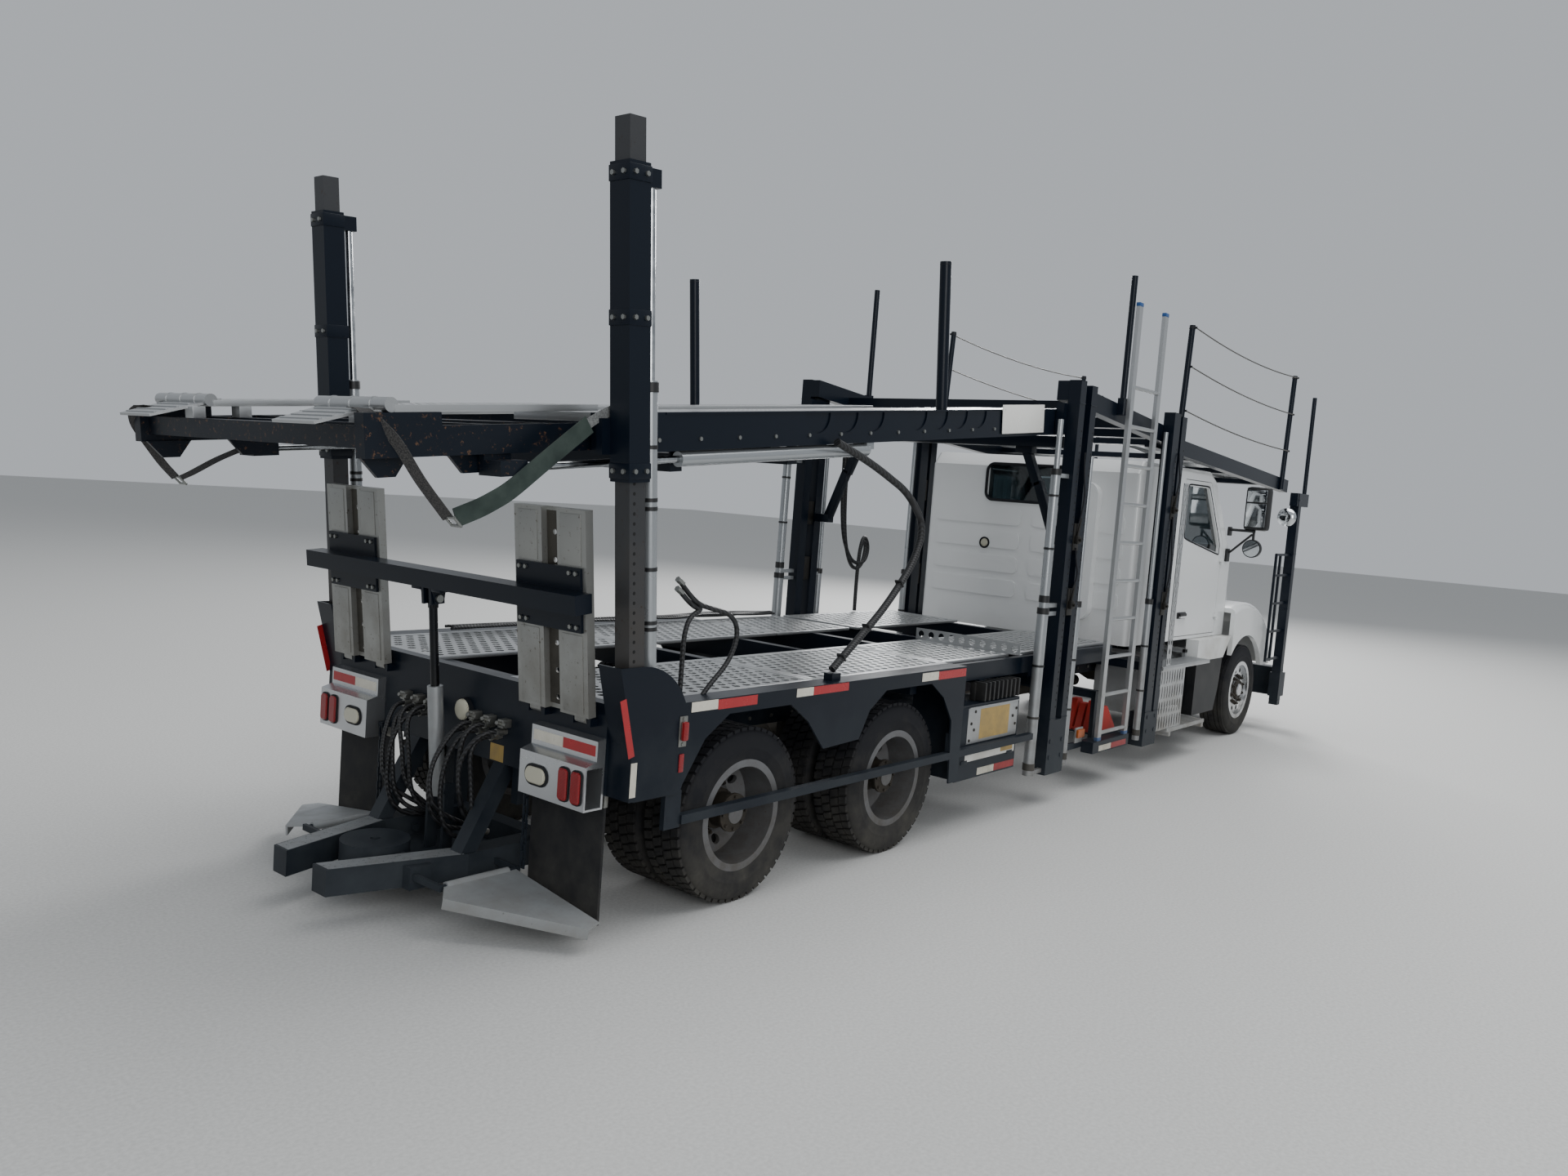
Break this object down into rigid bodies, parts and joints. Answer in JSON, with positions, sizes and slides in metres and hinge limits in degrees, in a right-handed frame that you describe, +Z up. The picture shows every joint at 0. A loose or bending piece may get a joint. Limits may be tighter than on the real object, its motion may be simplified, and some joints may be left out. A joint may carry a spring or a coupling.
{
  "type": "car transporter truck",
  "caption": "Bonneted car transporter truck with a two-level loading deck, leaning rear posts, a ramp over the cab and a low rear coupling.",
  "frame": {"origin": "on the ground under the middle of the overall length and width", "axes": "+X towards the front of the truck, +Y to its left, +Z up"},
  "size_m": [11.4519, 2.84, 4.03],
  "materials": {
    "white_paint": "glossy with road dirt",
    "navy_enamel": "satin, dusty and chipped",
    "silver_paint": "satin silver",
    "wheel_grey": "satin, dusty",
    "dark_steel": "satin, dirty",
    "post_steel": "bare, weathered brown",
    "aluminium": "mill finish",
    "bright_aluminium": "polished",
    "steel": "bare",
    "cast_iron": "rough",
    "tyre": "matt",
    "rubber": "matt",
    "black_plastic": "grained",
    "glass": "clear, tinted",
    "lamp_red": "glossy",
    "lamp_clear": "glossy",
    "seat_fabric": "woven"
  },
  "bodies": {
    "body": {"frame_rails": "dark_steel", "axles": "cast_iron", "engine_block": "cast_iron", "cab_shell": "white_paint", "cab_glass": "glass", "cab_interior": "seat_fabric", "nose_frame": "navy_enamel", "fuel_tanks": "bright_aluminium", "cab_steps": "aluminium", "side_skirts": "black_plastic", "side_sills": "navy_enamel", "deck_frame": "navy_enamel", "deck_floor": "aluminium", "rear_posts": "post_steel", "lift_barrels": "silver_paint", "side_posts": "navy_enamel", "bridge_frame": "navy_enamel", "tool_boxes": "aluminium", "ladder": "aluminium", "light_boxes": "aluminium", "rear_lamps": "lamp_red", "mud_flaps": "rubber", "stinger_frame": "navy_enamel", "wings": "aluminium", "mirrors": "black_plastic", "hose_bundle": "rubber"},
    "knuckle_left": {"knuckle_l": "cast_iron"},
    "front_wheel_left": {"front_tyre_l": "tyre", "front_rim_l": "bright_aluminium"},
    "knuckle_right": {"knuckle_r": "cast_iron"},
    "front_wheel_right": {"front_tyre_r": "tyre", "front_rim_r": "bright_aluminium"},
    "drive_wheels_2_left": {"drive_tyres_2l": "tyre", "drive_rims_2l": "wheel_grey"},
    "drive_wheels_2_right": {"drive_tyres_2r": "tyre", "drive_rims_2r": "wheel_grey"},
    "drive_wheels_3_left": {"drive_tyres_3l": "tyre", "drive_rims_3l": "wheel_grey"},
    "drive_wheels_3_right": {"drive_tyres_3r": "tyre", "drive_rims_3r": "wheel_grey"},
    "door_left": {"door_l": "white_paint", "door_glass_l": "glass"},
    "door_right": {"door_r": "white_paint", "door_glass_r": "glass"},
    "hood": {"hood": "white_paint", "head_lamps": "lamp_clear"},
    "upper_deck": {"upper_deck_frame": "navy_enamel", "upper_deck_tracks": "aluminium", "slide_barrels": "silver_paint"},
    "rear_sleeves": {"rear_sleeves": "navy_enamel", "lift_rods": "steel"},
    "deck_extension": {"extension_frame": "navy_enamel", "extension_tracks": "aluminium", "slide_rods": "steel"},
    "head_ramp": {"head_ramp_frame": "navy_enamel", "head_ramp_tracks": "aluminium"},
    "flip_gate": {"flip_plates": "aluminium", "flip_crossbar": "navy_enamel"},
    "flip_cylinder": {"flip_barrel": "silver_paint"},
    "flip_rod": {"flip_rod": "steel"}
  },
  "joints": [
    {"name": "steer_left", "type": "hinge", "parent": "body", "child": "knuckle_left", "pos_m": [4.49, 0.85, 0.445], "axis": [0, 0, 1], "range_deg": [-35, 35]},
    {"name": "front_spin_left", "type": "hinge", "parent": "knuckle_left", "child": "front_wheel_left", "pos_m": [4.49, 1.01, 0.468], "axis": [0, 1, 0], "continuous": true},
    {"name": "steer_right", "type": "hinge", "parent": "body", "child": "knuckle_right", "pos_m": [4.49, -0.85, 0.445], "axis": [0, 0, 1], "range_deg": [-35, 35]},
    {"name": "front_spin_right", "type": "hinge", "parent": "knuckle_right", "child": "front_wheel_right", "pos_m": [4.49, -1.01, 0.468], "axis": [0, 1, 0], "continuous": true},
    {"name": "drive_spin_2_left", "type": "hinge", "parent": "body", "child": "drive_wheels_2_left", "pos_m": [-2.016, 0.916, 0.468], "axis": [0, 1, 0], "continuous": true},
    {"name": "drive_spin_2_right", "type": "hinge", "parent": "body", "child": "drive_wheels_2_right", "pos_m": [-2.016, -0.916, 0.468], "axis": [0, 1, 0], "continuous": true},
    {"name": "drive_spin_3_left", "type": "hinge", "parent": "body", "child": "drive_wheels_3_left", "pos_m": [-3.419, 0.916, 0.468], "axis": [0, 1, 0], "continuous": true},
    {"name": "drive_spin_3_right", "type": "hinge", "parent": "body", "child": "drive_wheels_3_right", "pos_m": [-3.419, -0.916, 0.468], "axis": [0, 1, 0], "continuous": true},
    {"name": "door_left_swing", "type": "hinge", "parent": "body", "child": "door_left", "pos_m": [3.797, 1.064, 1.5], "axis": [0, 0, -1], "range_deg": [0, 70]},
    {"name": "door_right_swing", "type": "hinge", "parent": "body", "child": "door_right", "pos_m": [3.797, -1.064, 1.5], "axis": [0, 0, 1], "range_deg": [0, 70]},
    {"name": "hood_tilt", "type": "hinge", "parent": "body", "child": "hood", "pos_m": [5.42, 0, 0.745], "axis": [0, 1, 0], "range_deg": [0, 40]},
    {"name": "upper_deck_lift", "type": "hinge", "parent": "body", "child": "upper_deck", "pos_m": [-0.055, 0, 2.85], "axis": [0, 1, 0], "range_deg": [0, 10.4]},
    {"name": "sleeve_lift", "type": "slide", "parent": "body", "child": "rear_sleeves", "axis": [-0.0854, 0, 0.9963], "range_m": [0, 0.8]},
    {"name": "extension_slide", "type": "slide", "parent": "upper_deck", "child": "deck_extension", "axis": [0.9947, 0, 0.1028], "range_m": [0, 0.75]},
    {"name": "head_ramp_lift", "type": "hinge", "parent": "body", "child": "head_ramp", "pos_m": [1.85, 0, 2.83], "axis": [0, -1, 0], "range_deg": [0, 8]},
    {"name": "flip_gate_fold", "type": "hinge", "parent": "body", "child": "flip_gate", "pos_m": [-4.384, 0, 1.045], "axis": [0, -1, 0], "range_deg": [0, 80]},
    {"name": "flip_barrel_turn", "type": "hinge", "parent": "body", "child": "flip_cylinder", "pos_m": [-4.46, 0, 0.5], "axis": [0, -1, 0], "range_deg": [0, 37.2]},
    {"name": "flip_rod_slide", "type": "slide", "parent": "flip_cylinder", "child": "flip_rod", "axis": [-0.0856, 0, 0.9963], "range_m": [-0.397, 0]}
  ],
  "couplings": [
    {"joint": "steer_right", "follows": "steer_left", "ratio": 1},
    {"joint": "sleeve_lift", "follows": "upper_deck_lift", "m_per_rad": 4.38},
    {"joint": "flip_barrel_turn", "follows": "flip_gate_fold", "ratio": 0.4527},
    {"joint": "flip_rod_slide", "follows": "flip_gate_fold", "m_per_rad": -0.2809}
  ]
}
